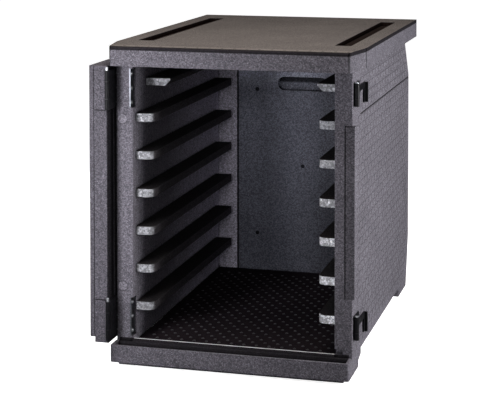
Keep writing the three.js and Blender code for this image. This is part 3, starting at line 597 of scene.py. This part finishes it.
def nylon_material():
    """Black glass-filled nylon: fine mould grain, handling marks, and painted highlights along its edges,
    pale on the hinges, faint on the latches.
    """
    shader = Shader("nylon_black")
    grain = shader.noise(0.35 * MM, 2.0)
    smear = shader.noise(9 * MM, 3.0)
    # painted highlight along the edges
    lit_edges = shader.edges(0.6 * MM)
    hinges = shader.spread(shader.axis("x"), -0.01, 0.01, 1.0, 0.0)
    edge = shader.mix(hinges, (0.03, 0.03, 0.033), (0.26, 0.27, 0.29))
    colour = shader.mix(shader.maths("MULTIPLY", lit_edges, 0.6), (0.004, 0.004, 0.005), edge)
    rough = shader.spread(smear, 0.3, 0.7, 0.30, 0.48)
    normal = shader.bump(grain, 0.04 * MM)
    return shader.finish(colour, rough, normal, specular=0.12)


def steel_material(name, bright, spotted):
    """Plated steel: drawn along its length, with small spots of dulling."""
    shader = Shader(name)
    mapping = shader.node("ShaderNodeMapping")
    mapping.inputs["Scale"].default_value = (1.0, 1.0, 0.08)
    shader.feed(mapping.inputs[0], shader.place)
    drawn = shader.noise(0.3 * MM, 2.0, mapping.outputs[0])
    spots = shader.noise(3 * MM, 3.0)
    colour = shader.mix(shader.spread(spots, 0.45, 0.7), bright, spotted)
    rough = shader.spread(spots, 0.35, 0.75, 0.34, 0.54)
    normal = shader.bump(drawn, 0.03 * MM)
    return shader.finish(colour, rough, normal, metallic=0.95)


# ---------------------------------------------------------------- finishing the CAD nodes


def smooth_group():
    """Geometry nodes that shade smooth across every edge flatter than EDGE_ANGLE."""
    group = bpy.data.node_groups.new("smooth_by_angle", "GeometryNodeTree")
    group.interface.new_socket("Geometry", in_out="INPUT", socket_type="NodeSocketGeometry")
    group.interface.new_socket("Geometry", in_out="OUTPUT", socket_type="NodeSocketGeometry")
    start = group.nodes.new("NodeGroupInput")
    end = group.nodes.new("NodeGroupOutput")
    angle = group.nodes.new("GeometryNodeInputMeshEdgeAngle")
    limit = group.nodes.new("FunctionNodeCompare")
    limit.operation = "LESS_THAN"
    limit.inputs[1].default_value = EDGE_ANGLE
    faces = group.nodes.new("GeometryNodeSetShadeSmooth")
    edges = group.nodes.new("GeometryNodeSetShadeSmooth")
    edges.domain = "EDGE"
    group.links.new(start.outputs[0], faces.inputs[0])
    group.links.new(faces.outputs[0], edges.inputs[0])
    group.links.new(angle.outputs["Unsigned Angle"], limit.inputs[0])
    group.links.new(limit.outputs[0], edges.inputs["Shade Smooth"])
    group.links.new(edges.outputs[0], end.inputs[0])
    return group


SMOOTH = smooth_group()


def refine(piece, radius, segments=3):
    """Rounds a piece's hard edges and shades it smooth, by modifiers alone."""
    weld = piece.modifiers.new("weld", "WELD")
    weld.merge_threshold = 0.01 * MM
    flat = piece.modifiers.new("flat", "DECIMATE")
    flat.decimate_type = "DISSOLVE"
    flat.angle_limit = math.radians(1)
    bevel = piece.modifiers.new("bevel", "BEVEL")
    bevel.width = radius
    bevel.segments = segments
    bevel.limit_method = "ANGLE"
    bevel.angle_limit = EDGE_ANGLE
    bevel.use_clamp_overlap = True
    smooth = piece.modifiers.new("smooth", "NODES")
    smooth.node_group = SMOOTH
    weighted = piece.modifiers.new("weighted", "WEIGHTED_NORMAL")
    weighted.keep_sharp = True


def coat(piece, material):
    """Puts one material in all of a piece's slots."""
    if not piece.material_slots:
        piece.data.materials.append(material)
    for slot in piece.material_slots:
        slot.link = "OBJECT"
        slot.material = material


FOAM = foam_material()
MARKS = marks_material()
SLAB = slab_material()
RAIL = rail_material()
STUDS = floor_material()
NYLON = nylon_material()
PLATE = steel_material("steel_plate", (0.085, 0.09, 0.10), (0.05, 0.053, 0.06))
STEEL = steel_material("steel_plated", (0.40, 0.42, 0.45), (0.26, 0.27, 0.29))

for name, node in nodes.items():
    if name.startswith("rail_"):
        coat(node, RAIL)
        refine(node, 1.0 * MM)
    elif name == "top_slab":
        coat(node, SLAB)
        refine(node, 1.5 * MM)
    elif name in ("body_shell", "base", "door_panel"):
        coat(node, FOAM)
        refine(node, 1.2 * MM)
    elif name.endswith(("leaf", "bracket", "lever", "catch")):
        coat(node, NYLON)
        refine(node, 0.5 * MM)
    else:
        coat(node, PLATE if "plate" in name else STEEL)
        refine(node, 0.25 * MM, 2)


# ---------------------------------------------------------------- small moulded details


def new_piece(name, mesh, material, body):
    """Adds a mesh as a piece that rides on a body."""
    bpy.ops.object.select_all(action="DESELECT")
    data = bpy.data.meshes.new(name)
    mesh.normal_update()
    mesh.to_mesh(data)
    mesh.free()
    for polygon in data.polygons:
        polygon.use_smooth = True
    piece = bpy.data.objects.new(name, data)
    bpy.context.scene.collection.objects.link(piece)
    coat(piece, material)
    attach(piece, body)
    return piece


def turned_solid(mesh, profile, turn, sides=14):
    """Adds a solid of revolution: profile runs from its foot to its crown as (radius, height) pairs."""
    angles = [2 * math.pi * i / sides for i in range(sides)]
    loops = []
    for radius, height in profile:
        places = [Vector((radius * math.cos(a), radius * math.sin(a), height)) for a in angles]
        loops.append([mesh.verts.new(turn @ place) for place in places])
    for low, high in zip(loops, loops[1:]):
        for i in range(sides):
            j = (i + 1) % sides
            mesh.faces.new((low[i], low[j], high[j], high[i]))
    mesh.faces.new(list(reversed(loops[0])))
    mesh.faces.new(loops[-1])


def dome_profile(radius, height, rings=4):
    """A low dome on a short foot that is sunk in the surface below it."""
    leans = [0.48 * math.pi * ring / rings for ring in range(rings + 1)]
    return [(radius, -0.6 * MM)] + [(radius * math.cos(a), height * math.sin(a)) for a in leans]


def floor_studs():
    """Low studs over the floor of the room, in staggered rows, which keep a tray off the foam."""
    mesh = bmesh.new()
    start, end = BODY_LOW.y + 22 * MM, BACK - 14 * MM
    rows = int((end - start) / STUD_ROW)
    columns = int((WALL - 14 * MM) / STUD_PITCH)
    profile = dome_profile(3.4 * MM, 1.6 * MM)
    for row in range(rows):
        shift = STUD_PITCH / 2 if row % 2 else 0
        for column in range(-columns, columns + 1 - row % 2):
            place = (column * STUD_PITCH + shift, start + row * STUD_ROW, FLOOR_TOP)
            turned_solid(mesh, profile, Matrix.Translation(place))
    new_piece("floor_studs", mesh, STUDS, "carrier")


def jamb_discs():
    """Round moulding marks on the left jamb, one under the top hinge and one above the bottom hinge."""
    mesh = bmesh.new()
    radius = DISC_RADIUS
    profile = [(radius, -MM), (radius, 0.05 * MM), (0.95 * radius, 0.16 * MM), (0.5 * radius, 0.16 * MM)]
    for height in DISC_HEIGHTS:
        place = Matrix.Translation((DISC_X, BODY_LOW.y, height)) @ Matrix.Rotation(math.pi / 2, 4, "X")
        turned_solid(mesh, profile, place, 40)
    new_piece("jamb_discs", mesh, MARKS, "carrier")


def wall_outside(y, z):
    """How far the outer face of a side wall lies from the middle plane at a point."""
    if z < CREASE or y < GRIP_START:
        return WALL_OUTER
    return WALL_OUTER - LEAN * (z - CREASE) / (SLAB_LOW.z - CREASE)


def pad_fits(y, z, side):
    """Whether a relief pad centred here stays on the plain part of a side wall."""
    rear = BODY_HIGH.y - 12 * MM - 0.29 * max(0.0, 0.150 - z)
    if not BODY_LOW.y + 34 * MM < y < rear - PAD_LENGTH / 2:
        return False
    if abs(z - CREASE) < PAD_HEIGHT / 2 + 1.5 * MM or y < GRIP_START + PAD_LENGTH / 2 and z > CREASE:
        return False
    fitting = ("latch_{}_lever", "hinge_{}_body_leaf")[side < 0]
    for place in ("top", "bottom"):
        low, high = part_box(fitting.format(place))
        margin = PAD_HEIGHT / 2 + 3 * MM
        if low.z - margin < z < high.z + margin and y < high.y + PAD_LENGTH / 2 + 3 * MM:
            return False
    return True


def relief_pad(mesh, y, z, side):
    """One low six-sided pad on the outside of a side wall, with sloping edges."""
    half = PAD_LENGTH / 2 - PAD_JOINT / 2
    rise = PAD_HEIGHT / 2 - PAD_JOINT / 2
    nib = 4 * MM
    lower = [(-half, 0), (nib - half, -rise), (half - nib, -rise)]
    upper = [(half, 0), (half - nib, rise), (nib - half, rise)]
    loops = []
    for proud, inset in ((-0.4 * MM, 0.0), (PAD_PROUD, 1.5 * MM)):
        shrink_y, shrink_z = 1 - inset / half, 1 - inset / rise
        loop = []
        for dy, dz in lower + upper:
            at_y, at_z = y + dy * shrink_y, z + dz * shrink_z
            loop.append(mesh.verts.new((side * (wall_outside(at_y, at_z) + proud), at_y, at_z)))
        loops.append(loop if side > 0 else loop[::-1])
    low, high = loops
    for i in range(len(low)):
        j = (i + 1) % len(low)
        mesh.faces.new((low[i], low[j], high[j], high[i]))
    mesh.faces.new(low[::-1])
    mesh.faces.new(high)


def side_relief(side, name):
    """Rows of low pads, laid like bricks, over the outside of one side wall."""
    mesh = bmesh.new()
    rows = int((SLAB_LOW.z - 0.06) / PAD_HEIGHT)
    columns = int((BODY_HIGH.y - BODY_LOW.y) / PAD_LENGTH)
    for row in range(rows):
        z = CREASE - PAD_HEIGHT / 2 - 1.6 * MM + (row - rows + 6) * PAD_HEIGHT
        if z > CREASE:
            z += 4 * MM
        if z > SLAB_LOW.z - PAD_HEIGHT / 2 - MM:
            continue
        for column in range(columns):
            y = BODY_LOW.y + (column + 0.5 + 0.5 * (row % 2)) * PAD_LENGTH
            if pad_fits(y, z, side):
                relief_pad(mesh, y, z, side)
    piece = new_piece(name, mesh, MARKS, "carrier")
    for polygon in piece.data.polygons:
        polygon.use_smooth = False


floor_studs()
jamb_discs()
side_relief(1, "side_relief_right")
side_relief(-1, "side_relief_left")


# ---------------------------------------------------------------- studio


def camera_only(shader):
    """1 for what the camera sees directly, 0 for light on its way between surfaces."""
    return shader.node("ShaderNodeLightPath").outputs["Is Camera Ray"]


def add_floor():
    """A pale floor that the camera sees near white, and that throws little light back on the carrier."""
    mesh = bmesh.new()
    bmesh.ops.create_grid(mesh, x_segments=1, y_segments=1, size=40)
    data = bpy.data.meshes.new("studio_floor")
    mesh.to_mesh(data)
    mesh.free()
    floor = bpy.data.objects.new("studio_floor", data)
    bpy.context.scene.collection.objects.link(floor)
    shader = Shader("studio_floor")
    seen = camera_only(shader)
    colour = shader.mix(seen, (FLOOR_BOUNCE,) * 3, (0.9, 0.9, 0.9))
    material = shader.finish(colour, 0.9, specular=0.0)
    shader.surface.inputs["Emission Color"].default_value = (1, 1, 1, 1)
    reach = shader.node("ShaderNodeVectorMath", operation="LENGTH")
    shader.feed(reach.inputs[0], shader.place)
    glow = shader.spread(reach.outputs["Value"], 0.5, 1.3, *FLOOR_GLOW)
    shader.feed(shader.surface.inputs["Emission Strength"], shader.maths("MULTIPLY", seen, glow))
    coat(floor, material)


def add_light(name, place, aim, size, power, colour, spread):
    """A rectangular softbox that the camera doesn't see."""
    data = bpy.data.lights.new(name, "AREA")
    data.spread = math.radians(spread)
    data.shape = "RECTANGLE"
    data.size, data.size_y = size
    data.energy = power
    data.color = colour
    light = bpy.data.objects.new(name, data)
    light.location = place
    light.rotation_euler = (Vector(aim) - Vector(place)).to_track_quat("-Z", "Y").to_euler()
    light.visible_camera = False
    bpy.context.scene.collection.objects.link(light)


def add_world():
    """White behind the carrier, dimmer as a source of light."""
    world = bpy.data.worlds.new("studio")
    world.use_nodes = True
    tree = world.node_tree
    background = tree.nodes["Background"]
    background.inputs["Color"].default_value = (1, 1, 1, 1)
    path = tree.nodes.new("ShaderNodeLightPath")
    level = tree.nodes.new("ShaderNodeMapRange")
    level.inputs["To Min"].default_value = AMBIENT
    level.inputs["To Max"].default_value = 1.0
    tree.links.new(path.outputs["Is Camera Ray"], level.inputs["Value"])
    tree.links.new(level.outputs[0], background.inputs["Strength"])
    bpy.context.scene.world = world


def add_camera():
    data = bpy.data.cameras.new("camera")
    camera = bpy.data.objects.new("camera", data)
    bpy.context.scene.collection.objects.link(camera)
    data.sensor_width = SENSOR
    data.lens = LENS
    camera.location = STATION
    turn = Matrix.Rotation(YAW, 4, "Z") @ Matrix.Rotation(math.pi / 2 - PITCH, 4, "X")
    camera.rotation_euler = turn.to_euler()
    bpy.context.scene.camera = camera
    return camera


def shift_at_station(camera):
    """Gives the lens its shift while the camera stands at its station, and none anywhere else."""
    mark = bpy.data.objects.new("station", None)
    mark.location = STATION
    bpy.context.scene.collection.objects.link(mark)
    for path, amount in zip(("shift_x", "shift_y"), LENS_SHIFT):
        curve = camera.data.driver_add(path)
        for modifier in list(curve.modifiers):
            curve.modifiers.remove(modifier)
        curve.driver.type = "SUM"
        away = curve.driver.variables.new()
        away.type = "LOC_DIFF"
        away.targets[0].id = camera
        away.targets[1].id = mark
        for distance, value in ((0.0, amount), (STATION_REACH, 0.0)):
            point = curve.keyframe_points.insert(distance, value)
            point.interpolation = "LINEAR"


add_floor()
add_world()
for name, light in LIGHTS.items():
    add_light(name, *light)
shift_at_station(add_camera())
bpy.context.scene.view_settings.view_transform = "Standard"
